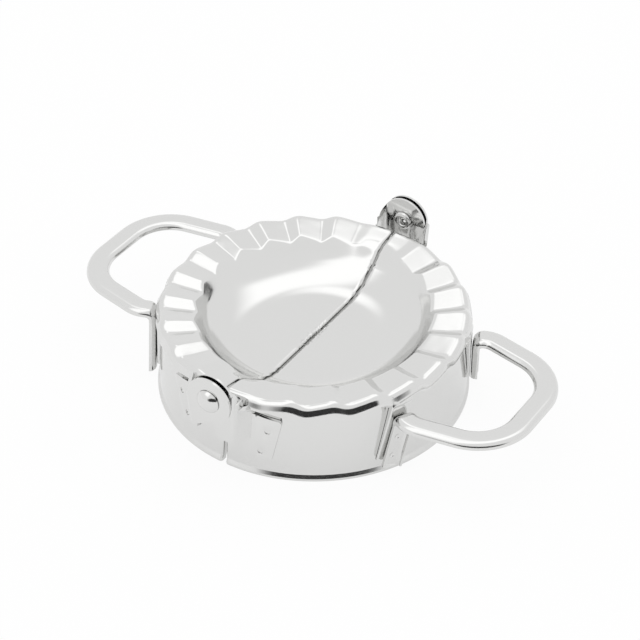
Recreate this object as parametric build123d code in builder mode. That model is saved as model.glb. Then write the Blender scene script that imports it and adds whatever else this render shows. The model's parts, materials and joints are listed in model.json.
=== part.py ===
from build123d import *
from math import acos, cos, degrees, radians, sin, sqrt, tan
import os

# Empanada press of pressed stainless sheet. Two identical halves, each a dished mould on a half-round
# cutter wall with a D handle, turn on two rivets. The second half is the first one turned half round.
# X runs along the handles, Y along the hinge axis, Z up; the origin is on the table under the middle.
# Millimetres and degrees; angles are measured from +X.

# ---- gauges and fits ----
SHEET = 0.6             # moulds and cutter walls
STRAP = 1.0             # hinge brackets
CHANNEL = 0.7           # handles
WELD_GAP = 0.15         # between round faces that are spot welded together
SKIRT_FIT = 0.3         # the mould's skirt slips over the cutter wall
EAR_GAP = 0.7           # between the two ears of a hinge
RIVET_PLAY = 0.08       # radial play of a rivet in its ears
SEAT_GAP = 0.1          # rivet ends stand off the ears by this
WELD_RADIUS = 0.9       # spot-weld dimples
WELD_DEPTH = 0.25

# ---- mould ----
RIM_RADIUS = 47.5       # outside of the skirt
RIM_HEIGHT = 28.0       # middle height of the fluted rim
RIM_BEND = 1.1          # rounding between the rim and its skirt
RIM_FALL = 1.6          # the rim slopes down by this towards the dish
SKIRT_DEPTH = 2.8       # turned-down edge
DISH_RADIUS = 36.3      # where the dish leaves the rim
DISH_DEPTH = 11.8       # below the rim
RISER_SLOPE = 55        # the upper part of the dish wall is steeper
RISER_DEPTH = 4.4
DISH_SLOPE = 37         # of the dish wall below it
DISH_CORNER = 20.0      # radius between the dish wall and its floor
FOLD_GAP = 0.8          # between the two moulds
FLUTES_EACH_SIDE = 5    # steps on each side of the handle's line; the last one is half as high
FLUTE_STEP = 4.3        # angle that the steep side of a flute takes
FLUTE_RISE = 2.0        # from the bottom of a flute to its top
PLAIN_END = 11.75       # angle from the last step to the fold

# ---- cutter wall ----
WALL_GAP = 1.8          # between the two walls at the fold
WALL_FLARE = 1.4        # the wall spreads by this from its top to the lip
LIP_HEIGHT = 1.5        # cutting lip, stepped outwards
LIP_STEP = 0.6
LIP_FALL = 0.5          # the step slopes down by this

# ---- mould tabs: shallow channels off the skirt, between the wall and the handle's legs ----
TAB_WIDTH = 7.4
TAB_DROP = 2.2          # from the rim down to the top of a tab
TAB_LENGTH = 20.9
TAB_LEAN = 14
TAB_SHIFT = 1.3         # angle from the middle of a leg on to the middle of its tab

# ---- handle ----
HANDLE_LENGTH = 31.4    # from the rim to the end of the bow
HANDLE_DROP = 6.0       # from the rim down to the top of the bow
BAND_WIDTH = 7.2
BAND_DEPTH = 2.2        # of the channel
BAND_EDGE = 0.9         # rounding of the channel's top edges
LEG_ANGLE = 25.5
LEG_BEND = 3.4
LEG_SHANK = 0.3         # upright stretch between the bend and the leaning leg
LEG_LEAN = 14
LEG_BOTTOM = 3.1        # height of the middle of its lower end
LEG_CUT = 20            # both lower ends are cut off at this slant, parallel in the flat strip
LEG_WELDS = (6.5, 13.0)     # heights of the spot welds
SHOULDER_RUN = 5.8      # from a leg to the corner where its arm turns
SHOULDER_BEND = 7.0
BOW_Y = 18.6            # corner of the bow before it is rounded
BOW_BEND = 15.5

# ---- hinges; heights on the brackets are measured from the pin ----
PRESS_GAP = 1.4         # between the two rims when the press is folded
EAR_RADIUS = 7.5
EAR_RUN = 4.75          # from the rim to the inner ear
STRAP_BEND = 1.2
STRAP_CORNER = 1.0      # rounding of the brackets' corners
RIVET_RADIUS = 2.0
HEAD_RADIUS = 3.7
HEAD_HEIGHT = 2.1
TAIL_RADIUS = 3.05
TAIL_LENGTH = 1.1
TAIL_BORE = 1.4
TAIL_BORE_DEPTH = 3.0

INNER_EDGE = 6.8        # the inner ear ends at this x, and its web turns back to the wall
INNER_WEB = 2.7         # the web meets the wall this much further out
INNER_SIDE = 0.7        # x of the ear's free side
INNER_FOOT = 14.8       # the ear and the web end this far below the pin
INNER_NECK = 2.8        # the web leaves the ear this far below the pin
INNER_FALL = 2.2        # its upper edge falls by this on the way to the wall
# corners of the weld plate: distance round the wall from where the web lands, and height
INNER_PLATE = ((1.8, -5.6), (3.1, -21.9), (-5.8, -22.3), (-8.8, -7.3))
INNER_WELDS = ((-4.6, -11.5), (-2.5, -19.1))

OUTER_EDGE = 7.8        # the same sizes of the outer bracket
OUTER_WEB = 4.7
OUTER_SLANT = 7.3       # its straight edge leans outwards
OUTER_SIDE = 5.0
OUTER_SHOULDER = 5.2    # the free side ends this far below the pin
OUTER_FOOT = 11.5
OUTER_FOOT_RUN = 5.8    # x where the slanted lower edge reaches the foot
OUTER_PLATE = ((-8.9, -7.3), (-3.3, -19.4), (3.2, -20.7), (3.1, -12.4), (-0.9, -5.6))
OUTER_WELDS = ((-4.4, -11.0), (-1.4, -17.4))

# ---- worked out ----
BEYOND = 6.0            # cutting shapes reach past the piece by this
WALL_RADIUS = RIM_RADIUS - SHEET - SKIRT_FIT
WALL_TOP = RIM_HEIGHT - RIM_BEND - FLUTE_RISE / 2 - SHEET
LIP_TOP = LIP_HEIGHT + LIP_FALL
TAB_RADIUS = WALL_RADIUS + WALL_FLARE + SHEET
TAB_ANGLE = LEG_ANGLE + TAB_SHIFT
TAB_TOP = RIM_HEIGHT - TAB_DROP
TAB_BOTTOM = TAB_TOP - TAB_LENGTH
LEG_FACE = TAB_RADIUS + WELD_GAP
HANDLE_TOP = RIM_HEIGHT - HANDLE_DROP
LEG_START = HANDLE_TOP - LEG_BEND - LEG_SHANK
FLUTE_PITCH = (90 - PLAIN_END) / FLUTES_EACH_SIDE
PIN_HEIGHT = RIM_HEIGHT + PRESS_GAP / 2
EAR_INNER = RIM_RADIUS + EAR_RUN
EAR_OUTER = EAR_INNER + STRAP + EAR_GAP
RIM_FLOOR = RIM_HEIGHT - DISH_DEPTH
SKIRT_EDGE = RIM_HEIGHT - SKIRT_DEPTH
SKIRT_LOWEST = SKIRT_EDGE - FLUTE_RISE / 2
CUT_FLOOR = RIM_FLOOR - BEYOND
CUT_RADIUS = RIM_RADIUS + BEYOND
CUT_TOP = PIN_HEIGHT + EAR_RADIUS + BEYOND


def radial_plane(angle):
    """Upright plane through the Z axis: its x is the distance from the axis, its y is the height."""
    out = (cos(radians(angle)), sin(radians(angle)), 0)
    return Plane(origin=(0, 0, 0), x_dir=out, z_dir=(out[1], -out[0], 0))


HALF_START = radial_plane(-90)      # the right half is swept from here, by half a turn


def tangent_plane(angle, distance=0, height=0):
    """Upright plane that faces away from the axis: its x runs round the wall, its y is the height."""
    out = Vector(cos(radians(angle)), sin(radians(angle)), 0)
    return Plane(origin=out * distance + Vector(0, 0, height), x_dir=(-out.Y, out.X, 0), z_dir=out)


def flutes():
    """Angle and lift of each corner of the fluted rim. Each flute climbs gently and drops steeply, and the
    waves of the two halves fit into each other when the press is folded."""
    high = FLUTE_RISE / 2
    corners = []
    for count in range(-FLUTES_EACH_SIDE, FLUTES_EACH_SIDE + 1):
        angle = count * FLUTE_PITCH
        before = {-FLUTES_EACH_SIDE: 0, FLUTES_EACH_SIDE: high / 2}.get(count, high)
        after = {-FLUTES_EACH_SIDE: -high / 2, FLUTES_EACH_SIDE: 0}.get(count, -high)
        if corners:
            last_angle, last_lift = corners[-1]
            middle = (last_angle + angle - FLUTE_STEP / 2) / 2
            corners.append((middle, (last_lift + before) / 2))
        corners.append((angle - FLUTE_STEP / 2, before))
        corners.append((angle + FLUTE_STEP / 2, after))
    run_out = 90 - corners[-1][0]
    ends = [90, 90 + run_out]
    return [(-end, 0) for end in reversed(ends)] + corners + [(end, 0) for end in ends]


def wave_sections(outline):
    """The closed outline(lift) drawn in an upright plane at each corner of the flutes."""
    sections = []
    for angle, lift in flutes():
        with BuildSketch(radial_plane(angle)) as section:
            with BuildLine():
                Polyline(*outline(lift), close=True)
            make_face()
        sections.append(section.sketch.face())
    return sections


def rim_at(radius):
    """Height of the rim at a distance from the axis, before the flutes lift it."""
    return RIM_HEIGHT - RIM_FALL * (RIM_RADIUS - radius) / (RIM_RADIUS - DISH_RADIUS)


def pressed_block(inset):
    """Half a round block whose top is the mould's pressed surface, moved in by inset."""
    low = radians(DISH_SLOPE)
    steep = radians(RISER_SLOPE)
    floor = RIM_FLOOR - inset
    ledge_shift = inset / cos((steep - low) / 2)
    ledge = DISH_RADIUS - RISER_DEPTH / tan(steep) + ledge_shift * sin((low + steep) / 2)
    ledge_height = rim_at(DISH_RADIUS) - RISER_DEPTH - ledge_shift * cos((low + steep) / 2)
    foot = ledge - (ledge_height - floor) / tan(low)
    peak = RIM_HEIGHT + FLUTE_RISE
    edge = RIM_RADIUS - inset
    bend_middle = RIM_BEND * (1 - sqrt(0.5))
    start = ledge

    def air(lift):
        rise = lift - inset
        return [
            (start, rim_at(start) + rise),
            (edge - RIM_BEND, rim_at(edge - RIM_BEND) + rise),
            (edge - bend_middle, RIM_HEIGHT - bend_middle + rise),
            (edge, RIM_HEIGHT - RIM_BEND + rise),
            (CUT_RADIUS, RIM_HEIGHT - RIM_BEND + rise),
            (CUT_RADIUS, CUT_TOP),
            (start, CUT_TOP),
        ]

    with BuildPart() as block:
        with BuildSketch(HALF_START):
            with BuildLine():
                Polyline(
                    (0, floor),
                    (foot, floor),
                    (ledge, ledge_height),
                    (ledge + (peak - ledge_height) / tan(steep), peak),
                    (edge, peak),
                    (edge, CUT_FLOOR - inset),
                    (0, CUT_FLOOR - inset),
                    close=True,
                )
            make_face()
            fillet(vertices().sort_by_distance((foot, floor))[0], DISH_CORNER + inset)
        revolve(axis=Axis.Z, revolution_arc=180)
        loft(sections=wave_sections(air), ruled=True, mode=Mode.SUBTRACT)
    return block.part


def below_skirt(lift):
    """Wave section of the space under the skirt, all round it."""
    inner = RIM_RADIUS - SHEET - SKIRT_FIT / 2
    floor = CUT_FLOOR - BEYOND
    return [(inner, floor), (CUT_RADIUS, floor), (CUT_RADIUS, SKIRT_EDGE + lift), (inner, SKIRT_EDGE + lift)]


def wall_radius(height, out=0):
    """Radius of the spreading cutter wall at a height, moved outwards."""
    return WALL_RADIUS + out + WALL_FLARE * (WALL_TOP - height) / (WALL_TOP - LIP_TOP)


def wall_block(out):
    """Solid block inside the cutter wall's outer face, moved outwards."""
    with BuildPart() as block:
        with BuildSketch(HALF_START):
            with BuildLine():
                Polyline(
                    (0, 0),
                    (wall_radius(0, out), 0),
                    (wall_radius(CUT_TOP, out), CUT_TOP),
                    (0, CUT_TOP),
                    close=True,
                )
            make_face()
        revolve(axis=Axis.Z)
    return block.part


def wall_patch(outline, angle, inner, outer, height=0):
    """A flat outline of (distance round, height) points, cut out of the shell between two round blocks."""
    with BuildPart() as patch:
        with BuildSketch(tangent_plane(angle, height=height)):
            with BuildLine():
                Polyline(*outline, close=True)
            make_face()
            fillet(vertices(), STRAP_CORNER)
        extrude(amount=CUT_RADIUS)
        add(outer, mode=Mode.INTERSECT)
        add(inner, mode=Mode.SUBTRACT)
    return patch.part


def drum(radius):
    """Solid upright drum."""
    with BuildPart() as block:
        with BuildSketch(Plane.XY):
            Circle(radius)
        extrude(amount=CUT_TOP)
    return block.part


def tab_outline(side, wall, top):
    """Leaning outline of a tab or, with a wall, of the hollow behind it; side is -1 at the near leg."""
    half = TAB_WIDTH / 2 - wall
    bottom = TAB_BOTTOM - 2 * wall
    lean = tan(radians(TAB_LEAN))
    low_shift = (TAB_TOP - bottom) * lean / 2
    high_shift = low_shift - (top - bottom) * lean
    return [
        (side * (low_shift - half), bottom),
        (side * (low_shift + half), bottom),
        (side * (high_shift + half), top),
        (side * (high_shift - half), top),
    ]


def other_half(piece, label):
    """The same piece on the other half of the press."""
    with BuildPart() as twin:
        add(piece.part.rotate(Axis.Z, 180))
    twin.part.label = label
    return twin


# ---- mould: a dish, a fluted rim and a skirt pressed from one sheet, with two tabs ----
weld_face = wall_block(WELD_GAP)
outer_block = pressed_block(0)
inner_block = pressed_block(SHEET)
with BuildPart() as mould_right:
    add(outer_block)
    add(inner_block, mode=Mode.SUBTRACT)
    loft(sections=wave_sections(below_skirt), ruled=True, mode=Mode.SUBTRACT)
    for side in (-1, 1):
        angle = side * TAB_ANGLE
        inside = drum(TAB_RADIUS - SHEET)
        tab = wall_patch(tab_outline(side, 0, TAB_TOP), angle, drum(RIM_RADIUS - SHEET), drum(TAB_RADIUS))
        add(tab - weld_face)
        below_rim = tab_outline(side, SHEET, SKIRT_LOWEST - SHEET)
        add(wall_patch(below_rim, angle, drum(RIM_RADIUS - 2 * SHEET), inside), mode=Mode.SUBTRACT)
        in_bulge = tab_outline(side, SHEET, TAB_TOP - SHEET)
        add(wall_patch(in_bulge, angle, drum(RIM_RADIUS), inside), mode=Mode.SUBTRACT)
    split(bisect_by=Plane.YZ.offset(FOLD_GAP / 2), keep=Keep.TOP)
mould_right.part.label = "mould_right"

# ---- cutter wall: half a ring with a cutting lip stepped outwards at its foot ----
with BuildPart() as cutter_wall_right:
    foot_radius = wall_radius(LIP_TOP)
    lip_radius = foot_radius + LIP_STEP
    with BuildSketch(HALF_START):
        with BuildLine():
            Polyline(
                (WALL_RADIUS - SHEET, WALL_TOP),
                (foot_radius - SHEET, LIP_TOP - SHEET / 2),
                (lip_radius - SHEET, LIP_HEIGHT - SHEET / 2),
                (lip_radius - SHEET, 0),
                (lip_radius, 0),
                (lip_radius, LIP_HEIGHT),
                (foot_radius, LIP_TOP),
                (WALL_RADIUS, WALL_TOP),
                close=True,
            )
        make_face()
    revolve(axis=Axis.Z, revolution_arc=180)
    split(bisect_by=Plane.YZ.offset(WALL_GAP / 2), keep=Keep.TOP)
cutter_wall_right.part.label = "cutter_wall_right"

# ---- handle: one channel that is bent into a bow and turned down into two legs ----
leg_out = Vector(cos(radians(LEG_ANGLE)), sin(radians(LEG_ANGLE)), 0)
leg_round = Vector(-leg_out.Y, leg_out.X, 0)
leg_foot = leg_out * LEG_FACE + Vector(0, 0, LEG_START)
leg_top = leg_out * LEG_FACE + Vector(0, 0, HANDLE_TOP)
shoulder = leg_out * (LEG_FACE + SHOULDER_RUN) + Vector(0, 0, HANDLE_TOP)
bow_corner = Vector(RIM_RADIUS + HANDLE_LENGTH - BAND_WIDTH / 2, BOW_Y, HANDLE_TOP)
bow_path = [leg_foot, leg_top, shoulder, bow_corner]
bow_path = bow_path + [Vector(point.X, -point.Y, point.Z) for point in reversed(bow_path)]
bow_bends = [LEG_BEND, SHOULDER_BEND, BOW_BEND]

with BuildPart() as handle_right:
    with BuildLine():
        FilletPolyline(*bow_path, radius=bow_bends + bow_bends[::-1])
    with BuildSketch(Plane(origin=leg_foot, x_dir=leg_round, z_dir=(0, 0, 1))):
        hang = (Align.CENTER, Align.MAX)
        Rectangle(BAND_WIDTH, BAND_DEPTH, align=hang)
        fillet(vertices().group_by(Axis.Y)[-1], BAND_EDGE)
        with Locations((0, -CHANNEL)):
            Rectangle(BAND_WIDTH - 2 * CHANNEL, BAND_DEPTH, align=hang, mode=Mode.SUBTRACT)
    sweep()
    for foot in faces().group_by(Axis.Z)[0]:
        side = 1 if foot.center().Y > 0 else -1
        lean = radians(LEG_LEAN)
        down = Vector(leg_round.X * sin(lean), side * leg_round.Y * sin(lean), -cos(lean))
        extrude(foot, amount=LEG_START / cos(lean), dir=down)
    for side in (-1, 1):
        end = (side * (LEG_START - LEG_BOTTOM) * tan(radians(LEG_LEAN)), LEG_BOTTOM, 0)
        with BuildSketch(tangent_plane(side * LEG_ANGLE, LEG_FACE - BEYOND)):
            with Locations(Location(end, (0, 0, -LEG_CUT))):
                Rectangle(4 * BAND_WIDTH, 4 * BAND_WIDTH, align=(Align.CENTER, Align.MAX))
        extrude(amount=BAND_DEPTH + 2 * BEYOND, mode=Mode.SUBTRACT)
        with BuildSketch(tangent_plane(side * LEG_ANGLE, LEG_FACE + CHANNEL - WELD_DEPTH)):
            for height in LEG_WELDS:
                with Locations((side * (LEG_START - height) * tan(radians(LEG_LEAN)), height)):
                    Circle(WELD_RADIUS)
        extrude(amount=WELD_DEPTH, mode=Mode.SUBTRACT)
handle_right.part.label = "handle_right"


# ---- hinge brackets: an ear on the pin, a web back to the wall, and a weld plate wrapped round it ----
plate_face = wall_block(WELD_GAP + STRAP)


def bracket(ear_y, edge_x, web_run, slant, outline, plate, welds):
    """Bracket at the far hinge. Its ear lies in the plane ear_y as far as edge_x, its web runs web_run
    further out on its way to the wall, and both lean by slant. outline (x, height) trims ear and web."""
    lean = tan(radians(slant))
    table_x = edge_x - PIN_HEIGHT * lean
    land_x = edge_x + web_run
    touch = wall_radius(WALL_TOP, WELD_GAP)
    land_angle = degrees(acos(land_x / touch))
    with BuildPart() as made:
        with BuildSketch(Plane.XY):
            with BuildLine():
                path = FilletPolyline(
                    (table_x - 3 * EAR_RADIUS, ear_y + STRAP / 2),
                    (table_x, ear_y + STRAP / 2),
                    (table_x + web_run, sqrt(touch**2 - land_x**2)),
                    radius=STRAP_BEND,
                )
            trace(path, line_width=STRAP)
        extrude(amount=CUT_TOP * sqrt(1 + lean**2), dir=(lean, 0, 1))
        with BuildSketch(Plane(origin=(0, 0, PIN_HEIGHT), x_dir=(1, 0, 0), z_dir=(0, -1, 0))):
            with BuildLine():
                Polyline(*outline, close=True)
            make_face()
            fillet(vertices().group_by(Axis.Y)[0], STRAP_CORNER)
            Circle(EAR_RADIUS)
            Circle(RIVET_RADIUS + RIVET_PLAY, mode=Mode.SUBTRACT)
        extrude(amount=-(ear_y + BEYOND), mode=Mode.INTERSECT)
        add(weld_face, mode=Mode.SUBTRACT)
        with BuildSketch(Plane.XY.offset(SKIRT_LOWEST - SKIRT_FIT)):
            Circle(RIM_RADIUS + SKIRT_FIT)
        extrude(amount=CUT_TOP, mode=Mode.SUBTRACT)
        add(wall_patch(plate, land_angle, weld_face, plate_face, PIN_HEIGHT))
        for round_by, height in welds:
            face = wall_radius(PIN_HEIGHT + height, WELD_GAP + STRAP)
            with BuildSketch(tangent_plane(land_angle + degrees(round_by / face), face - WELD_DEPTH)):
                with Locations((0, PIN_HEIGHT + height)):
                    Circle(WELD_RADIUS)
            extrude(amount=STRAP, mode=Mode.SUBTRACT)
    return made.part


inner_outline = [
    (INNER_SIDE, 0),
    (INNER_SIDE, -INNER_FOOT),
    (INNER_EDGE + INNER_WEB + STRAP, -INNER_FOOT),
    (INNER_EDGE + INNER_WEB + STRAP, -INNER_NECK - INNER_FALL),
    (INNER_EDGE + STRAP, -INNER_NECK),
    (INNER_EDGE + STRAP, 0),
]
with BuildPart() as bracket_right_near:
    add(bracket(EAR_INNER, INNER_EDGE, INNER_WEB, 0, inner_outline, INNER_PLATE, INNER_WELDS))
    mirror(about=Plane.XZ, mode=Mode.REPLACE)
bracket_right_near.part.label = "bracket_right_near"

outer_outline = [
    (-OUTER_SIDE, -OUTER_SHOULDER),
    (OUTER_FOOT_RUN, -OUTER_FOOT),
    (OUTER_EDGE + OUTER_WEB + STRAP, -OUTER_FOOT),
    (OUTER_EDGE + OUTER_WEB + STRAP, 0),
    (0, 0),
]
with BuildPart() as bracket_right_far:
    add(bracket(EAR_OUTER, OUTER_EDGE, OUTER_WEB, OUTER_SLANT, outer_outline, OUTER_PLATE, OUTER_WELDS))
bracket_right_far.part.label = "bracket_right_far"

# ---- rivet: a domed head outside, and a hollow clinched tail inside ----
with BuildPart() as rivet_far:
    tail_face = EAR_INNER - SEAT_GAP
    tail_end = tail_face - TAIL_LENGTH
    bore_end = tail_end + TAIL_BORE_DEPTH
    head_face = EAR_OUTER + STRAP + SEAT_GAP
    head_end = head_face + HEAD_HEIGHT
    dome_radius = (HEAD_RADIUS**2 + HEAD_HEIGHT**2) / (2 * HEAD_HEIGHT)
    with BuildSketch(Plane(origin=(0, 0, PIN_HEIGHT), x_dir=(0, 1, 0), z_dir=(1, 0, 0))):
        with BuildLine():
            Polyline(
                (head_face, HEAD_RADIUS),
                (head_face, RIVET_RADIUS),
                (tail_face, RIVET_RADIUS),
                (tail_face, TAIL_RADIUS),
                (tail_end, TAIL_RADIUS),
                (tail_end, TAIL_BORE),
                (bore_end, TAIL_BORE),
                (bore_end, 0),
                (head_end, 0),
            )
            RadiusArc((head_end, 0), (head_face, HEAD_RADIUS), -dome_radius)
        make_face()
        chamfer(vertices().group_by(Axis.X)[0], TAIL_LENGTH / 4)
    revolve(axis=Axis((0, 0, PIN_HEIGHT), (0, 1, 0)))
rivet_far.part.label = "rivet_far"

right_half = [mould_right, cutter_wall_right, handle_right, bracket_right_near, bracket_right_far, rivet_far]
left_labels = ["mould_left", "cutter_wall_left", "handle_left", "bracket_left_far", "bracket_left_near"]
left_labels.append("rivet_near")
left_half = [other_half(piece, label) for piece, label in zip(right_half, left_labels)]

os.makedirs("parts", exist_ok=True)
for piece in right_half + left_half:
    export_step(piece.part, f"parts/{piece.part.label}.step")
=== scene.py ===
import json
from math import asin, atan2, cos, exp, hypot, log, pi, radians, sin, sqrt, tan

import bpy
from mathutils import Matrix, Vector


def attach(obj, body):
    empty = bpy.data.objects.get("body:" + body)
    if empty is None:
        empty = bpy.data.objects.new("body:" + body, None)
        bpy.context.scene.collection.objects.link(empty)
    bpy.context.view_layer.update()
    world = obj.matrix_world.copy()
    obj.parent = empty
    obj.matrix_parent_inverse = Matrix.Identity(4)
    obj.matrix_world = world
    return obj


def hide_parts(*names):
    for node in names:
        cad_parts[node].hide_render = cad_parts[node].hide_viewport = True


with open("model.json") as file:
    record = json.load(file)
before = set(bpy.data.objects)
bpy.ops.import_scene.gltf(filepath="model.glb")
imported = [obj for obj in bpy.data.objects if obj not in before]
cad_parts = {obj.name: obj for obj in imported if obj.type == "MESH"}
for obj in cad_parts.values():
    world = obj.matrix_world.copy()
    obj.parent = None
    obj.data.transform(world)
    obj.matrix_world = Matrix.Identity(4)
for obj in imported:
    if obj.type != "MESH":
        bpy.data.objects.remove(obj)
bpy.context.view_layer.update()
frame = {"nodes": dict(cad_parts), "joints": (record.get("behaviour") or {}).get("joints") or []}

# Empanada press of pressed stainless sheet, in metres and radians. The right half is modelled, and the
# left half is a copy of it turned half round the Z axis. Angles are measured from +X.
MM = 0.001
UP = (0, 0, 1)
ACROSS = (1, 0, 0)          # square to the fold, which lies along Y

# ---- pressed sheet ----
SHEET = 0.6 * MM
RIM_RADIUS = 47.5 * MM
RIM_HEIGHT = 28.0 * MM
RIM_BEND = 2.2 * MM
RIM_FALL = 1.6 * MM         # down to the dish
SKIRT_EDGE = 24.7 * MM
HEM_FLARE = 1.6 * MM        # the short skirt opens outwards by this
DISH_RADIUS = 36.3 * MM
DISH_FLOOR = 16.2 * MM
DISH_CORNER = 20 * MM
DISH_SLOPE = radians(37)
RISER_SLOPE = radians(55)
RISER_DEPTH = 4.4 * MM
RISER_FOOT_BEND = 11 * MM   # rounding between the two slopes
LIP_BEND = 2.1 * MM         # rounding between the riser and the rim
END_LIP = 0.24 * MM         # softness of the broad lip at the ends of a half
MOULD_BEND_STEPS = 9
MOULD_MESH = 1.1 * MM
MOULD_TURN_STEPS = 456
MOULD_OVERRUN = radians(1.2)    # turned this far past the fold, then cut back to it
MOULD_EDGE = 0.18 * MM      # its cut edges are broken by this

# ---- fold edges of the mould ----
FOLD_GAP = 0.8 * MM
FOLD_ROLL = 0.8 * MM        # the sheet is rolled down with this radius
FOLD_HEM = 2.8 * MM         # and hangs straight below the roll
FOLD_HEM_END = 0.9 * MM     # less at the rim, to clear the walls
FOLD_HEM_TAPER = 3 * MM     # the hem has come down to that this far inside the rim
FOLD_CUTS = 10
SLIVER = 0.05 * MM          # edges shorter than this are closed up after the cuts

# ---- flutes ----
FLUTES = 5                  # on each side of the handle's line
FLUTE_STEP = radians(5.0)   # width of a steep flank
FLUTE_RISE = 1.8 * MM
FLUTE_BLEND = radians(1.6)  # rounding of ridges and valleys on the rim
HEM_BLEND = radians(3.6)    # and at the hem
HEM_BLEND_REACH = 4 * MM    # width of the change between the two
HEM_WAVE = 1.35             # the flutes are this much deeper at the hem
HEM_WAVE_START = 5 * MM     # counted from this far outside the dish
BLEND_SAMPLES = 6
PLAIN_END = radians(11.75)  # without flutes at each end of a half

# ---- cutter wall ----
WALL_RADIUS = 46.6 * MM
WALL_TOP = 25.3 * MM
WALL_FLARE = 1.4 * MM
WALL_FOOT = 0.02 * MM
WALL_END = 0.3 * MM         # from the fold to the rolled end of a wall
WALL_SPREAD = 0.4 * MM      # the ends stand further apart at the foot
WALL_SPREAD_REACH = 30 * MM
WALL_ROLL = 0.8 * MM        # radius of the rolled ends
WALL_HEM = 1.6 * MM         # which run on inwards by this
WALL_CUTS = 12
WALL_MESH = 2 * MM
WALL_TURN_STEPS = 240
WALL_EDGE = 0.12 * MM
LIP_STEP = 0.6 * MM
LIP_HEIGHT = 0.8 * MM
LIP_TOP = 2.1 * MM
LIP_BENDS = (0.6 * MM, 0.35 * MM)
LIP_BEND_STEPS = 4

# ---- spot welds ----
WELD_GAP = 0.15 * MM
WELD_RADIUS = 0.9 * MM
WELD_DEPTH = 0.25 * MM
WELD_STEPS = 48

# ---- mould tabs ----
TAB_RADIUS = 48.6 * MM
TAB_WIDTH = 7.4 * MM
TAB_TOP = 25.8 * MM
TAB_BOTTOM = 4.9 * MM
TAB_LEAN = radians(14)
TAB_ANGLE = radians(26.8)
TAB_BEND = 0.5 * MM
TAB_BEND_STEPS = 4
TAB_FLANGE = 0.7 * MM       # drawn depth of the bent-back sides below that bend
TAB_THINNEST = SHEET + 0.02 * MM
TAB_SWELL = (23.3 * MM, 26.4 * MM)      # heights between which it runs in under the skirt
TAB_UNDER_SKIRT = 0.25 * MM
TAB_FINE = 23.4 * MM        # drawn in finer steps above this height
TAB_FINE_STEP = 0.3 * MM
TAB_FINE_STEPS = 10
TAB_STEPS = 14
TAB_MESH = 0.9 * MM
TAB_EDGE = 0.15 * MM

# ---- handle ----
CHANNEL = 0.7 * MM
LEG_FACE = 48.75 * MM
LEG_ANGLE = radians(25.5)
LEG_BEND = 3.4 * MM
LEG_BEND_STEPS = 10
LEG_START = 18.3 * MM
LEG_LEAN = radians(14)
LEG_BOTTOM = 3.1 * MM
LEG_CUT = radians(20)
LEG_SPARE = 3 * MM          # drawn on below the ground, for the slanting cut
LEG_WELDS = (6.5 * MM, 13 * MM)
LEG_STEPS = 12
LEAN_STEPS = 6              # short runs in which the leg comes to its lean
LEAN_STEP = 0.25 * MM
HANDLE_TOP = 22.0 * MM
HANDLE_EDGE = 0.12 * MM
HANDLE_MESH = 1.2 * MM
BAND_WIDTH = 7.2 * MM
BAND_DEPTH = 2.2 * MM
BAND_BEND = 1.9 * MM
BAND_BEND_STEPS = 6
ARM_STEPS = 4
SHOULDER_RUN = 5.8 * MM
SHOULDER_BEND = 7 * MM
SHOULDER_STEPS = 10
BOW_X = 75.3 * MM
BOW_Y = 18.6 * MM
BOW_BEND = 15.5 * MM
BOW_STEPS = 28

# ---- hinge brackets ----
EAR_INNER = 52.25 * MM      # inner face of the inner ear
EAR_OUTER = 54.95 * MM      # outer face of the outer ear
STRAP = 1.0 * MM
EAR_DRAWN = 0.25 * MM       # riveting has thinned each ear by this at the slit between the two
STRAP_EDGE = 0.1 * MM
STRAP_FLAT = radians(0.2)   # faces that turn by less are parts of one face

# ---- rivets ----
PIN_HEIGHT = frame["joints"][0]["pos_m"][2]
SEAT_GAP = 0.1 * MM
SHANK = 2.0 * MM
HEAD_RADIUS = 3.7 * MM
HEAD_HEIGHT = 2.1 * MM
HEAD_RIM = 0.35 * MM        # straight edge below the dome
HEAD_ROUNDING = 0.15 * MM
HEAD_ROUNDING_BACK = 0.1 * MM   # its middle lies this far behind the end of the straight edge
HEAD_ROUNDING_START = 0.9   # where it leaves the dome, as an angle from the rivet's axis
HEAD_ROUNDING_STEPS = 3
HEAD_STEPS = 12
TAIL_RADIUS = 3.05 * MM
TAIL_LENGTH = 1.1 * MM
TAIL_BORE = 1.4 * MM
TAIL_BORE_DEPTH = 3.0 * MM
TAIL_BORE_POINT = 1.1 * MM  # length of the cone that ends it
TAIL_MOUTH = 0.35 * MM      # rounding where the bore opens
TAIL_MOUTH_DEPTH = 0.3 * MM
TAIL_MOUTH_STEPS = 4
TAIL_ROLL_STEPS = 10
RIVET_TURN_STEPS = 64

# ---- edges and smoothing ----
SHARP = 60                  # degrees from which an edge is a cut one, not a bend
SHEET_SMOOTH = 35           # degrees up to which a face runs on smoothly into the next
FLAT_SMOOTH = 25            # the same, where weld marks or folds have to stay crisp
ROUND_SMOOTH = 40           # and on a turned piece
TOUCHING = 0.001 * MM       # points closer than this are one


def hex_colour(text):
    """Linear RGBA from an sRGB hex value such as D8D8D6."""
    values = [int(text[i:i + 2], 16) / 255 for i in (0, 2, 4)]
    return [v / 12.92 if v <= 0.04045 else ((v + 0.055) / 1.055) ** 2.4 for v in values] + [1]


def add_node(tree, kind, settings=None, inputs=None, links=None):
    """Adds a node, sets its properties and input values, and links sockets into its inputs, which are
    given by name or by number."""
    node = tree.nodes.new(kind)
    for name, value in (settings or {}).items():
        setattr(node, name, value)
    for name, value in (inputs or {}).items():
        node.inputs[name].default_value = value
    for name, socket in (links or {}).items():
        tree.links.new(socket, node.inputs[name])
    return node


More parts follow.
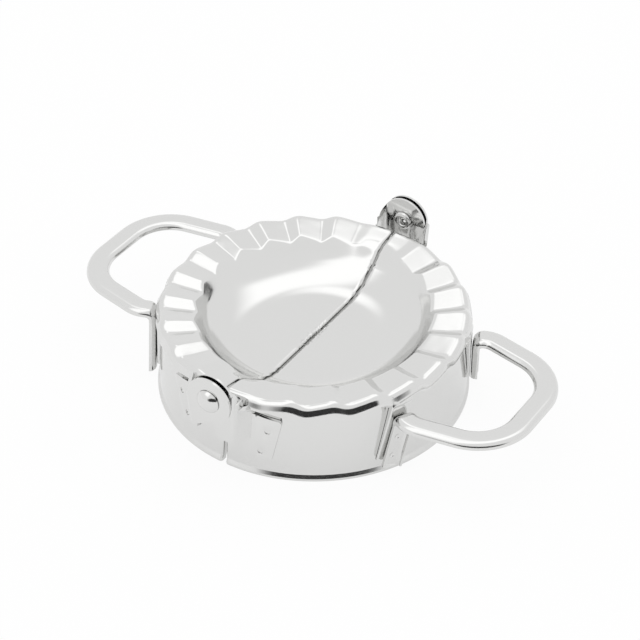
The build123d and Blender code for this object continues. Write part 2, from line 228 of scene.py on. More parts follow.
# ================= finishes =================
WAVE_LENGTH = 14 * MM
GRAIN_LENGTH = 0.9 * MM     # real handling scratches are finer, and are drawn this coarse to show at all
GRAIN_RANGE = (0.3, 0.7)    # nearly all of the grain's values lie between these
GLOSS_RANGE = (0.8, 1.25)   # and they change the roughness by these factors


def stainless(name, colour, roughness, wave, scratch):
    """Bright stainless steel. wave is the depth of the slow unevenness that pressing or rolling leaves,
    which bends long reflections a little. scratch is that of the fine handling scratches, which also make
    the gloss change slightly from spot to spot."""
    material = bpy.data.materials.new(name)
    material.use_nodes = True
    tree = material.node_tree
    shader = tree.nodes["Principled BSDF"]
    shader.inputs["Base Color"].default_value = hex_colour(colour)
    shader.inputs["Metallic"].default_value = 1
    place = add_node(tree, "ShaderNodeTexCoord").outputs["Object"]
    slow = add_node(tree, "ShaderNodeTexNoise", inputs={"Scale": 1 / WAVE_LENGTH, "Detail": 1},
                    links={"Vector": place})
    grain = add_node(tree, "ShaderNodeTexNoise", inputs={"Scale": 1 / GRAIN_LENGTH, "Detail": 4},
                     links={"Vector": place})
    gloss = add_node(tree, "ShaderNodeMapRange",
                     inputs={"From Min": GRAIN_RANGE[0], "From Max": GRAIN_RANGE[1],
                             "To Min": roughness * GLOSS_RANGE[0], "To Max": roughness * GLOSS_RANGE[1]},
                     links={"Value": grain.outputs["Fac"]})
    unevenness = add_node(tree, "ShaderNodeBump", inputs={"Strength": 1, "Distance": wave},
                          links={"Height": slow.outputs["Fac"]})
    scratches = add_node(tree, "ShaderNodeBump", inputs={"Strength": 1, "Distance": scratch},
                         links={"Height": grain.outputs["Fac"], "Normal": unevenness.outputs["Normal"]})
    tree.links.new(gloss.outputs["Result"], shader.inputs["Roughness"])
    tree.links.new(scratches.outputs["Normal"], shader.inputs["Normal"])
    return material


# ================= modelling steps =================
def take(piece):
    """Makes the piece the one that the next step works on."""
    bpy.ops.object.select_all(action="DESELECT")
    piece.select_set(True)
    bpy.context.view_layer.objects.active = piece


def enter_edit(piece):
    """Edit mode with everything selected."""
    take(piece)
    bpy.ops.object.mode_set(mode="EDIT")
    bpy.ops.mesh.select_all(action="SELECT")


def leave_edit():
    bpy.ops.object.mode_set(mode="OBJECT")


def draw_outline(name, points):
    """A new piece in edit mode: a line from point to point, all of it selected."""
    bpy.ops.object.select_all(action="DESELECT")
    bpy.ops.mesh.primitive_plane_add(size=MM)
    piece = bpy.context.object
    piece.name = name
    bpy.ops.object.mode_set(mode="EDIT")
    bpy.ops.mesh.select_mode(type="VERT")
    bpy.ops.mesh.select_all(action="SELECT")
    bpy.ops.mesh.merge(type="CENTER")
    bpy.ops.transform.translate(value=points[0])
    for here, there in zip(points, points[1:]):
        run_on(Vector(there) - Vector(here))
    bpy.ops.mesh.select_all(action="SELECT")
    return piece


def run_on(value):
    """Draws what is selected on in a straight run."""
    bpy.ops.mesh.extrude_region_move(TRANSFORM_OT_translate={"value": value})


def bend_on(angle, center, axis, steps):
    """Draws the selected outline on round a bend, anticlockwise about the axis."""
    bpy.ops.mesh.spin(steps=steps, angle=-angle, center=center, axis=axis)


def cut(piece, point, normal, keep_both=False):
    """Cuts with a plane and clears what lies behind it."""
    enter_edit(piece)
    bpy.ops.mesh.bisect(plane_co=point, plane_no=normal, clear_inner=not keep_both)
    leave_edit()


def score(piece, start, width, count):
    """Lines across the strip beside the fold that will be rolled, close enough for a smooth curve."""
    for line in range(1, count + 1):
        cut(piece, (start + width * line / count, 0, 0), ACROSS, keep_both=True)


def rolled(across, start, roll, hem):
    """(across, down) of a spot on a strip of the width roll, once it is rolled over a quarter turn from the
    start and its hem runs on straight."""
    quarter = roll * pi / 2
    path = (start - across) / roll * (quarter + hem)
    turn = min(path, quarter) / roll
    return start - roll * sin(turn), roll * (1 - cos(turn)) + max(path - quarter, 0)


def select_where(piece, test):
    """Enters edit mode with the faces selected whose corners all pass the test."""
    enter_edit(piece)
    bpy.ops.mesh.select_all(action="DESELECT")
    leave_edit()
    vertices = piece.data.vertices
    for face in piece.data.polygons:
        face.select = all(test(vertices[index].co) for index in face.vertices)
    bpy.ops.object.mode_set(mode="EDIT")
    bpy.ops.mesh.select_mode(type="FACE")


def reshape(piece, rule):
    """Moves every vertex to where the rule puts it."""
    for vertex in piece.data.vertices:
        vertex.co = rule(vertex.co)


def merge_close(piece, distance):
    enter_edit(piece)
    bpy.ops.mesh.remove_doubles(threshold=distance)
    leave_edit()


def face_outwards(piece, spot, out):
    """Merges doubles, and turns the sheet so that its face nearest to the spot looks out."""
    merge_close(piece, 2 * TOUCHING)
    enter_edit(piece)
    bpy.ops.mesh.normals_make_consistent(inside=False)
    leave_edit()
    nearest = min(piece.data.polygons, key=lambda face: (face.center - Vector(spot)).length)
    if nearest.normal.dot(Vector(out)) < 0:
        enter_edit(piece)
        bpy.ops.mesh.flip_normals()
        leave_edit()


def apply_modifier(piece, kind, **settings):
    take(piece)
    bpy.ops.object.modifier_add(type=kind)
    modifier = piece.modifiers[-1]
    for name, value in settings.items():
        setattr(modifier, name, value)
    bpy.ops.object.modifier_apply(modifier=modifier.name)


def thicken(piece, thickness, edge, even=True):
    """Gives the sheet its thickness below its outer face, breaks its cut edges and smooths it."""
    apply_modifier(piece, "SOLIDIFY", thickness=thickness, offset=-1, use_even_offset=even)
    break_edges(piece, edge)
    smooth_by_angle(piece, SHEET_SMOOTH)


def break_edges(piece, edge):
    apply_modifier(piece, "BEVEL", width=edge, segments=2, limit_method="ANGLE",
                   angle_limit=radians(SHARP), use_clamp_overlap=True)


def smooth_by_angle(piece, angle):
    take(piece)
    bpy.ops.object.shade_smooth_by_angle(angle=radians(angle))


def press_weld(piece, spot, out):
    """Presses the shallow round mark of a spot weld into a face."""
    ball = (WELD_RADIUS**2 + WELD_DEPTH**2) / (2 * WELD_DEPTH)
    bpy.ops.object.select_all(action="DESELECT")
    bpy.ops.mesh.primitive_uv_sphere_add(segments=WELD_STEPS, ring_count=WELD_STEPS // 2, radius=ball,
                                         location=Vector(spot) + Vector(out) * (ball - WELD_DEPTH))
    punch = bpy.context.object
    apply_modifier(piece, "BOOLEAN", operation="DIFFERENCE", object=punch, solver="EXACT")
    bpy.data.objects.remove(punch, do_unlink=True)


def arc_points(center, radius, start, end, steps):
    """Points (across, up) on an arc from one angle to another, both ends included."""
    angles = [start + (end - start) * step / steps for step in range(steps + 1)]
    return [(center[0] + radius * cos(a), center[1] + radius * sin(a)) for a in angles]


def rounded(points, radii, steps):
    """The outline with each of its corners rounded, the two ends left out."""
    result = [points[0]]
    for before, corner, after, radius in zip(points, points[1:], points[2:], radii):
        back = (Vector(before) - Vector(corner)).normalized()
        on = (Vector(after) - Vector(corner)).normalized()
        half = back.angle(on) / 2
        reach = radius / tan(half)
        middle = Vector(corner) + (back + on).normalized() * radius / sin(half)
        first = Vector(corner) + back * reach
        last = Vector(corner) + on * reach
        start = atan2(*reversed(first - middle))
        turn = atan2(*reversed(last - middle)) - start
        turn = (turn + pi) % (2 * pi) - pi
        result += arc_points(middle, radius, start, start + turn, steps)
    return result + [points[-1]]


def refined(points, step):
    """The outline with points added so that they are about a step apart."""
    result = [points[0]]
    for here, there in zip(points, points[1:]):
        count = max(1, round((Vector(there) - Vector(here)).length / step))
        result += [tuple(Vector(here).lerp(Vector(there), (i + 1) / count)) for i in range(count)]
    return result


def ease(value, low, high):
    """0 below low, 1 above high, and a smooth S between them."""
    share = min(max((value - low) / (high - low), 0), 1)
    return share * share * (3 - 2 * share)


def turned_copy(piece, name):
    """The same piece on the other half of the press, half a turn round."""
    take(piece)
    bpy.ops.object.duplicate(linked=False)
    twin = bpy.context.object
    twin.name = name
    bpy.ops.transform.rotate(value=pi, orient_axis="Z", center_override=(0, 0, 0))
    bpy.ops.object.transform_apply(location=True, rotation=True, scale=True)
    return twin


# ================= mould =================
def rim_at(radius):
    """Height of the rim before the flutes lift it."""
    return RIM_HEIGHT - RIM_FALL * (RIM_RADIUS - radius) / (RIM_RADIUS - DISH_RADIUS)


LEDGE = DISH_RADIUS - RISER_DEPTH / tan(RISER_SLOPE)    # radius where the riser starts
LEDGE_HEIGHT = rim_at(DISH_RADIUS) - RISER_DEPTH
FLUTE_PITCH = (pi / 2 - PLAIN_END) / FLUTES


def mould_outline():
    """(radius, height) of the pressed sheet's upper face, from the middle to the hem of the skirt."""
    rise = LEDGE_HEIGHT - DISH_FLOOR
    corners = [
        (0, DISH_FLOOR),
        (LEDGE - rise / tan(DISH_SLOPE), DISH_FLOOR),
        (LEDGE, LEDGE_HEIGHT),
        (DISH_RADIUS, rim_at(DISH_RADIUS)),
        (RIM_RADIUS - HEM_FLARE / 2, RIM_HEIGHT),
        (RIM_RADIUS + HEM_FLARE / 2, SKIRT_EDGE),
    ]
    outline = rounded(corners, [DISH_CORNER, RISER_FOOT_BEND, LIP_BEND, RIM_BEND], MOULD_BEND_STEPS)
    return refined(outline, MOULD_MESH)


def flute_corners():
    """(angle, lift) where the rim's saw wave turns. Each flute climbs gently and drops steeply. The first
    and last drops are half as high, as they start from a plain end or lead to one."""
    high = FLUTE_RISE / 2
    corners = [(-pi, 0)]
    for flute in range(-FLUTES, FLUTES + 1):
        top = {-FLUTES: 0, FLUTES: high / 2}.get(flute, high)
        foot = {-FLUTES: -high / 2, FLUTES: 0}.get(flute, -high)
        middle = flute * FLUTE_PITCH
        corners += [(middle - FLUTE_STEP / 2, top), (middle + FLUTE_STEP / 2, foot)]
    return corners + [(pi, 0)]


FLUTE_CORNERS = flute_corners()


def flute_lift(angle):
    """Lift of the rim at an angle, straight from corner to corner of the wave."""
    for (start, low), (end, high) in zip(FLUTE_CORNERS, FLUTE_CORNERS[1:]):
        if angle <= end:
            return low + (high - low) * (angle - start) / (end - start)
    return 0


def blended_lift(angle, blend):
    """The lift with its ridges and valleys rounded, as a punch leaves them: a mean over nearby angles in
    which the nearest count most."""
    shares = range(1 - BLEND_SAMPLES, BLEND_SAMPLES)
    weighted = sum(flute_lift(angle + blend * share / BLEND_SAMPLES) * (BLEND_SAMPLES - abs(share))
                   for share in shares)
    return weighted / BLEND_SAMPLES**2


def press_flutes(point):
    """The flutes start at the foot of the riser, are at full height from the dish's lip on, and grow deeper
    and rounder towards the hem. At the ends of a half, the riser gives way to a broad soft lip."""
    radius = hypot(point.x, point.y)
    if radius <= LEDGE:
        return point
    angle = atan2(point.y, point.x)
    to_hem = ease(radius, RIM_RADIUS - HEM_BLEND_REACH, RIM_RADIUS)
    lift = blended_lift(angle, FLUTE_BLEND + (HEM_BLEND - FLUTE_BLEND) * to_hem)
    share = min(max((point.z - LEDGE_HEIGHT) / (rim_at(DISH_RADIUS) - LEDGE_HEIGHT), 0), 1)
    if radius > DISH_RADIUS:
        share = 1
    fade = max(1 - max(radius - DISH_RADIUS, 0) / (RIM_RADIUS - DISH_RADIUS), 0)
    new_radius = radius + lift * share / tan(RISER_SLOPE) * fade
    height = point.z
    broad = ease(abs(angle), pi / 2 - PLAIN_END, pi / 2)
    if broad > 0 and radius < RIM_RADIUS - RIM_BEND:
        slope = LEDGE_HEIGHT + (radius - LEDGE) * tan(DISH_SLOPE)
        soft = -END_LIP * log(exp(-slope / END_LIP) + exp(-rim_at(radius) / END_LIP))
        height = height + (min(soft, height) - height) * broad
    deeper = 1
    if radius > DISH_RADIUS + HEM_WAVE_START:
        deeper += (HEM_WAVE - 1) * ease(RIM_HEIGHT - point.z, 0, RIM_HEIGHT - SKIRT_EDGE)
    factor = new_radius / radius
    return Vector((point.x * factor, point.y * factor, height + lift * share * deeper))


def roll_fold_edge(point):
    """The sheet is rolled down at the fold, so that dough meets no cut edge."""
    start = FOLD_GAP / 2 + FOLD_ROLL
    if point.x >= start:
        return point
    to_rim = ease(abs(point.y), DISH_RADIUS, RIM_RADIUS - FOLD_HEM_TAPER)
    across, drop = rolled(point.x, start, FOLD_ROLL, FOLD_HEM + (FOLD_HEM_END - FOLD_HEM) * to_rim)
    return Vector((across, point.y, point.z - drop))


def wall_radius(height):
    return WALL_RADIUS + WALL_FLARE * (WALL_TOP - height) / (WALL_TOP - LIP_TOP)


def tab_piece(side):
    """A shallow channel that swells out from under the skirt and leans down over the cutter wall."""
    half = TAB_WIDTH / 2
    back = TAB_BEND + TAB_FLANGE
    corners = [(-half, back), (-half, 0), (half, 0), (half, back)]
    outline = refined(rounded(corners, [TAB_BEND, TAB_BEND], TAB_BEND_STEPS), TAB_MESH)
    piece = draw_outline("tab", [(u, v, TAB_BOTTOM) for u, v in outline])
    heights = [TAB_BOTTOM + step * (TAB_FINE - TAB_BOTTOM) / TAB_STEPS for step in range(TAB_STEPS + 1)]
    heights += [TAB_FINE + step * TAB_FINE_STEP for step in range(1, TAB_FINE_STEPS + 1)]
    for here, there in zip(heights, heights[1:]):
        run_on((0, 0, there - here))
    leave_edit()

    def wrap(point):
        """Lays the straight channel round the wall at its lean, and brings its sides back to the wall."""
        height = point.z
        depth = max(TAB_RADIUS - WELD_GAP - wall_radius(height), TAB_THINNEST)
        inwards = max(point.y, 0)
        if point.y >= TAB_BEND:
            inwards = TAB_BEND + (depth - TAB_BEND) * (point.y - TAB_BEND) / TAB_FLANGE
        swell = (TAB_RADIUS - RIM_RADIUS + TAB_UNDER_SKIRT) * ease(height, *TAB_SWELL)
        radius = TAB_RADIUS - inwards - swell
        lean = tan(TAB_LEAN) * ((TAB_TOP - TAB_BOTTOM) / 2 - (height - TAB_BOTTOM))
        angle = side * TAB_ANGLE + asin((point.x + side * lean) / TAB_RADIUS)
        return Vector((radius * cos(angle), radius * sin(angle), height))

    reshape(piece, wrap)
    out = Vector((cos(side * TAB_ANGLE), sin(side * TAB_ANGLE), 0))
    face_outwards(piece, out * TAB_RADIUS + Vector((0, 0, (TAB_TOP + TAB_BOTTOM) / 2)), out)
    thicken(piece, SHEET, TAB_EDGE)
    return piece


def mould_piece():
    """Turned from its outline, fluted, cut off at the fold, rolled there, and joined with its two tabs."""
    start = -pi / 2 - MOULD_OVERRUN
    points = [(r * cos(start), r * sin(start), z) for r, z in mould_outline()]
    piece = draw_outline("pressed_mould_right", points)
    bend_on(pi + 2 * MOULD_OVERRUN, (0, 0, 0), UP, MOULD_TURN_STEPS)
    leave_edit()
    face_outwards(piece, (DISH_RADIUS / 2, 0, DISH_FLOOR), UP)
    reshape(piece, press_flutes)
    cut(piece, (FOLD_GAP / 2, 0, 0), ACROSS)
    score(piece, FOLD_GAP / 2, FOLD_ROLL, FOLD_CUTS)
    merge_close(piece, SLIVER)
    reshape(piece, roll_fold_edge)
    thicken(piece, SHEET, MOULD_EDGE, even=False)
    tabs = [tab_piece(side) for side in (-1, 1)]
    take(piece)
    for tab in tabs:
        tab.select_set(True)
    bpy.ops.object.join()
    return piece


# ================= cutter wall =================
def roll_wall_end(point):
    """Each end of the wall is rolled inwards, and the two ends stand further apart towards the foot."""
    spread = (WALL_SPREAD * (1 - point.z / WALL_TOP) ** 2
              * ease(WALL_SPREAD_REACH - point.x, 0, WALL_SPREAD_REACH))
    start = WALL_END + WALL_ROLL
    if point.x >= start:
        return Vector((point.x + spread, point.y, point.z))
    across, inwards = rolled(point.x, start, WALL_ROLL, WALL_HEM)
    return Vector((across + spread, point.y - inwards * (1 if point.y > 0 else -1), point.z))


def wall_piece():
    """The dough cutter that the press stands on: turned, cut off at the fold, and rolled in at its ends."""
    foot = WALL_RADIUS + WALL_FLARE
    corners = [
        (WALL_RADIUS, WALL_TOP),
        (foot, LIP_TOP),
        (foot + LIP_STEP, LIP_HEIGHT),
        (foot + LIP_STEP, WALL_FOOT),
    ]
    outline = refined(rounded(corners, LIP_BENDS, LIP_BEND_STEPS), WALL_MESH)
    start = -pi / 2
    points = [(r * cos(start), r * sin(start), z) for r, z in outline]
    piece = draw_outline("cutter_wall_right_sheet", points)
    bend_on(pi, (0, 0, 0), UP, WALL_TURN_STEPS)
    leave_edit()
    face_outwards(piece, (foot, 0, WALL_TOP / 2), ACROSS)
    cut(piece, (WALL_END, 0, 0), ACROSS)
    score(piece, WALL_END, WALL_ROLL, WALL_CUTS)
    reshape(piece, roll_wall_end)
    thicken(piece, SHEET, WALL_EDGE)
    return piece


# ================= handle =================
LEG_OUT = Vector((cos(LEG_ANGLE), sin(LEG_ANGLE), 0))   # out from the wall where a leg stands on it
LEG_ROUND = Vector((-sin(LEG_ANGLE), cos(LEG_ANGLE), 0))


def handle_half():
    """The channel from the middle of the bow to the end of one leg, bent as the real one is."""
    half = BAND_WIDTH / 2
    corners = [(-half, BAND_DEPTH), (-half, 0), (half, 0), (half, BAND_DEPTH)]
    section = refined(rounded(corners, [BAND_BEND, BAND_BEND], BAND_BEND_STEPS), HANDLE_MESH)
    down = Vector((0, 0, -1))
    shoulder = LEG_OUT * (LEG_FACE + SHOULDER_RUN)
    bow = Vector((BOW_X, BOW_Y, 0))
    arm = (shoulder - bow).normalized()
    arm_left = Vector((-arm.y, arm.x, 0))
    bow_turn = atan2(arm.y, arm.x) - pi / 2
    shoulder_turn = pi + LEG_ANGLE - atan2(arm.y, arm.x)
    bow_reach = BOW_BEND * tan(bow_turn / 2)
    shoulder_reach = SHOULDER_BEND * tan(shoulder_turn / 2)
    arm_length = (shoulder - bow).length - bow_reach - shoulder_reach

    piece = draw_outline("bent_channel_handle_right", [(BOW_X + u, 0, HANDLE_TOP - v) for u, v in section])
    run_on((0, BOW_Y - bow_reach, 0))
    bend_on(bow_turn, (BOW_X - BOW_BEND, BOW_Y - bow_reach, 0), UP, BOW_STEPS)
    for step in range(ARM_STEPS):
        run_on(arm * arm_length / ARM_STEPS)
    bend_on(shoulder_turn, shoulder - arm * shoulder_reach + arm_left * SHOULDER_BEND, UP, SHOULDER_STEPS)
    run_on(-LEG_OUT * (SHOULDER_RUN - LEG_BEND - shoulder_reach))
    height = HANDLE_TOP - LEG_BEND
    bend_on(pi / 2, LEG_OUT * (LEG_FACE + LEG_BEND) - down * height, -LEG_ROUND, LEG_BEND_STEPS)
    lean = LEG_ROUND * tan(LEG_LEAN)
    for step in range(LEAN_STEPS):
        run_on((down + lean * (step + 0.5) / LEAN_STEPS) * LEAN_STEP)
        height -= LEAN_STEP
    for step in range(LEG_STEPS):
        run_on((down + lean) * (height + LEG_SPARE) / LEG_STEPS)
    leave_edit()
    return piece


def handle_piece():
    """The whole handle: two equal halves of a bow, with its legs cut off, thickened and spot welded."""
    piece = handle_half()
    apply_modifier(piece, "MIRROR", use_axis=(False, True, False), use_clip=True)
    end = LEG_OUT * LEG_FACE + LEG_ROUND * (LEG_START - LEG_BOTTOM) * tan(LEG_LEAN)
    # both ends of the strip are cut off at the same slant
    for side in (1, -1):
        along = Vector((LEG_ROUND.x * side, LEG_ROUND.y, 0))
        select_where(piece, lambda point: point.y * side > 0 and point.z < LEG_START)
        bpy.ops.mesh.bisect(plane_co=(end.x, end.y * side, LEG_BOTTOM),
                            plane_no=Vector(UP) * cos(LEG_CUT) + along * sin(LEG_CUT), clear_inner=True)
        leave_edit()
    face_outwards(piece, (BOW_X, 0, HANDLE_TOP), UP)
    thicken(piece, CHANNEL, HANDLE_EDGE)
    for side in (1, -1):
        for height in LEG_WELDS:
            lean = LEG_ROUND * (LEG_START - height) * tan(LEG_LEAN)
            spot = LEG_OUT * (LEG_FACE + CHANNEL) + lean
            press_weld(piece, (spot.x, spot.y * side, height), (LEG_OUT.x, LEG_OUT.y * side, 0))
    smooth_by_angle(piece, FLAT_SMOOTH)
    return piece


# ================= hinge brackets and rivets =================
def thin_ear(point):
    """Opens the slit between the two ears of a hinge a little, as riveting has thinned them there."""
    for face, shift in ((EAR_INNER + STRAP, -EAR_DRAWN), (EAR_OUTER - STRAP, EAR_DRAWN)):
        if abs(abs(point.y) - face) < 10 * TOUCHING:
            return Vector((point.x, point.y + shift * (1 if point.y > 0 else -1), point.z))
    return point


def bracket_piece(node_name, name):
    """The punched and folded strap, with the burrs of its cut edges tumbled off."""
    take(frame["nodes"][node_name])
    bpy.ops.object.duplicate(linked=False)
    piece = bpy.context.object
    piece.name = name
    piece.data.materials.clear()
    enter_edit(piece)
    bpy.ops.mesh.remove_doubles(threshold=TOUCHING)
    bpy.ops.mesh.dissolve_limited(angle_limit=STRAP_FLAT)
    leave_edit()
    reshape(piece, thin_ear)
    break_edges(piece, STRAP_EDGE)
    smooth_by_angle(piece, FLAT_SMOOTH)
    return piece


def rivet_piece():
    """Domed head outside, shank, and a hollow tail that is clinched over inside."""
    head_face = EAR_OUTER + SEAT_GAP
    tail_face = EAR_INNER - SEAT_GAP
    tail_end = tail_face - TAIL_LENGTH
    bore_end = tail_end + TAIL_BORE_DEPTH
    roll = TAIL_LENGTH / 2
    rise = HEAD_HEIGHT - HEAD_RIM
    dome = (HEAD_RADIUS**2 + rise**2) / (2 * rise)
    dome_middle = head_face + HEAD_HEIGHT - dome
    edge_angle = asin(HEAD_RADIUS / dome)
    outline = [(head_face + HEAD_HEIGHT, 0)]
    outline += arc_points((dome_middle, 0), dome, 0, edge_angle, HEAD_STEPS)[1:-1]
    outline += arc_points((head_face + HEAD_RIM - HEAD_ROUNDING_BACK, HEAD_RADIUS - HEAD_ROUNDING),
                          HEAD_ROUNDING, HEAD_ROUNDING_START, pi / 2, HEAD_ROUNDING_STEPS)
    outline += [(head_face, HEAD_RADIUS), (head_face, SHANK), (tail_face, SHANK)]
    outline += [(tail_face, TAIL_RADIUS - roll)]
    outline += arc_points((tail_face - roll, TAIL_RADIUS - roll), roll, 0, pi, TAIL_ROLL_STEPS)[1:]
    outline += arc_points((tail_end + TAIL_MOUTH_DEPTH, TAIL_BORE + TAIL_MOUTH), TAIL_MOUTH,
                          pi, 1.5 * pi, TAIL_MOUTH_STEPS)
    outline += [(bore_end - TAIL_BORE_POINT, TAIL_BORE), (bore_end, 0)]
    piece = draw_outline("domed_rivet_far", [(0, along, PIN_HEIGHT + radius) for along, radius in outline])
    bend_on(2 * pi, (0, 0, PIN_HEIGHT), (0, 1, 0), RIVET_TURN_STEPS)
    leave_edit()
    merge_close(piece, TOUCHING)
    enter_edit(piece)
    bpy.ops.mesh.normals_make_consistent(inside=False)
    leave_edit()
    smooth_by_angle(piece, ROUND_SMOOTH)
    return piece


# ================= assembly =================
def fit(piece, body, node):
    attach(piece, body)
    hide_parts(node)


def name_on_left(name):
    """The half turn takes right to left and near to far."""
    swap = {"right": "left", "near": "far", "far": "near"}
    return "_".join(swap.get(word, word) for word in name.split("_"))


# One bright steel throughout, with what each way of shaping it leaves. Pressing stretches the sheet over the
# punch, so the moulds gleam a little softly. The rolled walls and the punched straps keep the gloss of the
# mill, so edges and neighbours show sharply in them. The handles are tumbled after bending, which softens
# their highlights most. The rivets are headed cold and come out as smooth as the tool.
BRIGHT = "DFDFDE"
SHEET_WAVE = 0.02 * MM
SMALL_WAVE = 0.01 * MM      # the thick straps and the rivets stay flatter
SCRATCH = 0.002 * MM
pressed_steel = stainless("pressed_stainless_steel", BRIGHT, 0.12, SHEET_WAVE, SCRATCH)
wall_steel = stainless("rolled_stainless_steel", BRIGHT, 0.10, SHEET_WAVE, SCRATCH)
handle_steel = stainless("tumbled_stainless_steel", BRIGHT, 0.14, SHEET_WAVE, SCRATCH)
bracket_steel = stainless("punched_stainless_steel", BRIGHT, 0.10, SMALL_WAVE, SCRATCH)
rivet_steel = stainless("headed_stainless_steel", BRIGHT, 0.10, SMALL_WAVE, SCRATCH)

for piece, finish, slot, right_node, left_node in (
    (mould_piece(), pressed_steel, "pressed_steel", "mould_right", "mould_left"),
    (wall_piece(), wall_steel, "wall_steel", "cutter_wall_right", "cutter_wall_left"),
    (handle_piece(), handle_steel, "handle_steel", "handle_right", "handle_left"),
    (bracket_piece("bracket_right_near", "inner_ear_right_near"), bracket_steel, "bracket_steel",
     "bracket_right_near", "bracket_left_far"),
    (bracket_piece("bracket_right_far", "outer_ear_right_far"), bracket_steel, "bracket_steel",
     "bracket_right_far", "bracket_left_near"),
    (rivet_piece(), rivet_steel, "rivet_steel", "rivet_far", "rivet_near"),
):
    piece.data.materials.append(finish)
    fit(piece, "right_half", right_node)
    fit(turned_copy(piece, name_on_left(piece.name)), "left_half", left_node)

# ================= camera =================
AZIMUTH = radians(-33.208)
ELEVATION = radians(38.988)
ROLL = radians(0.361)
DISTANCE = 603.447 * MM
AIM = Vector((0, 0, 15 * MM))
IMAGE = 640                 # width in pixels, which the next three are measured in
FOCAL = 1956.939
SHIFT_X = 6.071
SHIFT_Y = 17.847
SENSOR = 36
forward = Vector((sin(AZIMUTH) * cos(ELEVATION), cos(AZIMUTH) * cos(ELEVATION), -sin(ELEVATION)))
right = Vector((cos(AZIMUTH), -sin(AZIMUTH), 0))
up = right.cross(forward)
camera_data = bpy.data.cameras.new("camera")
camera = bpy.data.objects.new("camera", camera_data)
bpy.context.scene.collection.objects.link(camera)
camera_data.sensor_width = SENSOR
camera_data.lens = SENSOR * FOCAL / IMAGE
camera_data.clip_start = 10 * MM
camera_data.shift_x = SHIFT_X / IMAGE
camera_data.shift_y = SHIFT_Y / IMAGE
rolled_right = right * cos(ROLL) + up * sin(ROLL)
rolled_up = up * cos(ROLL) - right * sin(ROLL)
camera.matrix_world = Matrix((
    (rolled_right.x, rolled_up.x, -forward.x, 0),
    (rolled_right.y, rolled_up.y, -forward.y, 0),
    (rolled_right.z, rolled_up.z, -forward.z, 0),
    (0, 0, 0, 1),
))
camera.location = AIM - forward * DISTANCE
bpy.context.scene.camera = camera

# ================= floor =================
# Matt white paper, lit so fully that to the eye it is nearly plain white and keeps only a faint shadow.
# The steel mirrors it with a little less of that light, which gives the walls their pale grey.
FLOOR_SIZE = 4
FLOOR_LIGHT = 0.93
FLOOR_LIGHT_IN_STEEL = 0.62
bpy.ops.object.select_all(action="DESELECT")
bpy.ops.mesh.primitive_plane_add(size=FLOOR_SIZE, location=(0, 0, 0))
floor = bpy.context.object
floor.name = "floor"
paper = bpy.data.materials.new("matt_white_paper")
paper.use_nodes = True
tree = paper.node_tree
tree.nodes.remove(tree.nodes["Principled BSDF"])
sheet = add_node(tree, "ShaderNodeBsdfDiffuse", inputs={"Color": hex_colour("F4F4F4")})
glow = add_node(tree, "ShaderNodeEmission", inputs={"Color": hex_colour("FFFFFF"), "Strength": 1})
rays = add_node(tree, "ShaderNodeLightPath")
seen = add_node(tree, "ShaderNodeMath", {"operation": "MULTIPLY"}, {1: FLOOR_LIGHT},
                {0: rays.outputs["Is Camera Ray"]})
mirrored = add_node(tree, "ShaderNodeMath", {"operation": "MULTIPLY_ADD"}, {1: FLOOR_LIGHT_IN_STEEL},
                    {0: rays.outputs["Is Glossy Ray"], 2: seen.outputs["Value"]})
both = add_node(tree, "ShaderNodeMixShader", links={
    0: mirrored.outputs["Value"],
    1: sheet.outputs["BSDF"],
    2: glow.outputs["Emission"],
})
tree.links.new(both.outputs["Shader"], tree.nodes["Material Output"].inputs["Surface"])
floor.data.materials.append(paper)

# ================= sky =================
# The steel has hardly any tone of its own and shows whichever part of the sky each face mirrors. The sky is
# an even pale tent. A strip overhead and a small panel beside it, at the back left, are brighter and give
# the rim and the flutes their white faces. The room behind the tent's opening, low at the front right, is
# dark and gives the steep faces their dark lines. Directions are unit vectors, and limits are along them.
TENT = 0.94
STRIP = radians(250)        # the way the strip runs
STRIP_LIGHT = 0.42
PANEL = Vector((-0.38, 0.37, 0.848))
PANEL_FADE = (0.08, 0.27)
ROOM_AZIMUTH = radians(-50)
ROOM_RISE = 0.16
ROOM_FADE = (0.74 * 0.8, 0.74 * 1.15)
ROOM_SQUEEZE = 2.6          # the opening is this much wider than high
ROOM_LEFT = 0.04            # share of the tent's light that is left in it
SOFT = {"interpolation_type": "SMOOTHSTEP"}

world = bpy.data.worlds.new("light_tent")
bpy.context.scene.world = world
world.use_nodes = True
tree = world.node_tree
look = add_node(tree, "ShaderNodeTexCoord").outputs["Generated"]

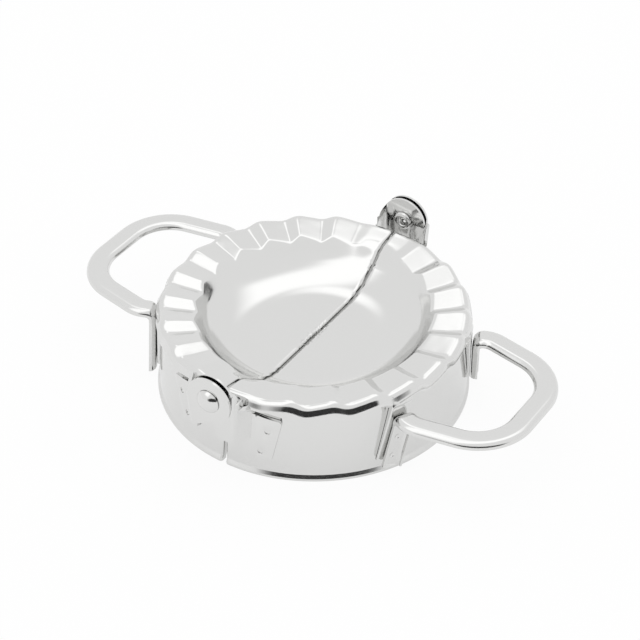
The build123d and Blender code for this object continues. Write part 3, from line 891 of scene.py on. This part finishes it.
strip_light = add_node(tree, "ShaderNodeValue").outputs["Value"]
strip_light.default_value = STRIP_LIGHT
along_strip = Vector((cos(STRIP), sin(STRIP), 0))
across_strip = Vector((-sin(STRIP), cos(STRIP), 0))
for direction, dark_at, lit_at in (
    (across_strip, -0.42, -0.25),
    (-across_strip, -0.32, -0.12),
    (along_strip, -0.75, -0.5),
    (Vector(UP), 0.35, 0.60),
):
    reach = add_node(tree, "ShaderNodeVectorMath", {"operation": "DOT_PRODUCT"}, {1: direction}, {0: look})
    share = add_node(tree, "ShaderNodeMapRange", SOFT, {"From Min": dark_at, "From Max": lit_at},
                     {"Value": reach.outputs["Value"]})
    strip_light = add_node(tree, "ShaderNodeMath", {"operation": "MULTIPLY"},
                           links={0: strip_light, 1: share.outputs["Result"]}).outputs["Value"]

panel_off = add_node(tree, "ShaderNodeVectorMath", {"operation": "DISTANCE"}, {1: PANEL}, {0: look})
panel_light = add_node(tree, "ShaderNodeMapRange", SOFT, {
    "From Min": PANEL_FADE[0], "From Max": PANEL_FADE[1],
    "To Min": STRIP_LIGHT, "To Max": 0,
}, {"Value": panel_off.outputs["Value"]})
lamps = add_node(tree, "ShaderNodeMath", {"operation": "MAXIMUM"},
                 links={0: strip_light, 1: panel_light.outputs["Result"]})

room = Vector((cos(ROOM_AZIMUTH), sin(ROOM_AZIMUTH), 0)) * sqrt(1 - ROOM_RISE**2)
room.z = ROOM_RISE
room_off = add_node(tree, "ShaderNodeVectorMath", {"operation": "SUBTRACT"}, {1: room}, {0: look})
squeezed = add_node(tree, "ShaderNodeVectorMath", {"operation": "MULTIPLY"}, {1: (1, 1, ROOM_SQUEEZE)},
                    {0: room_off.outputs["Vector"]})
room_reach = add_node(tree, "ShaderNodeVectorMath", {"operation": "LENGTH"},
                      links={0: squeezed.outputs["Vector"]})
tent = add_node(tree, "ShaderNodeMapRange", SOFT, {
    "From Min": ROOM_FADE[0], "From Max": ROOM_FADE[1],
    "To Min": TENT * ROOM_LEFT, "To Max": TENT,
}, {"Value": room_reach.outputs["Value"]})
sky = add_node(tree, "ShaderNodeMath", {"operation": "ADD"},
               links={0: lamps.outputs["Value"], 1: tent.outputs["Result"]})
background = tree.nodes["Background"]
tree.links.new(sky.outputs["Value"], background.inputs["Color"])
background.inputs["Strength"].default_value = 1
bpy.context.scene.view_settings.view_transform = "Standard"
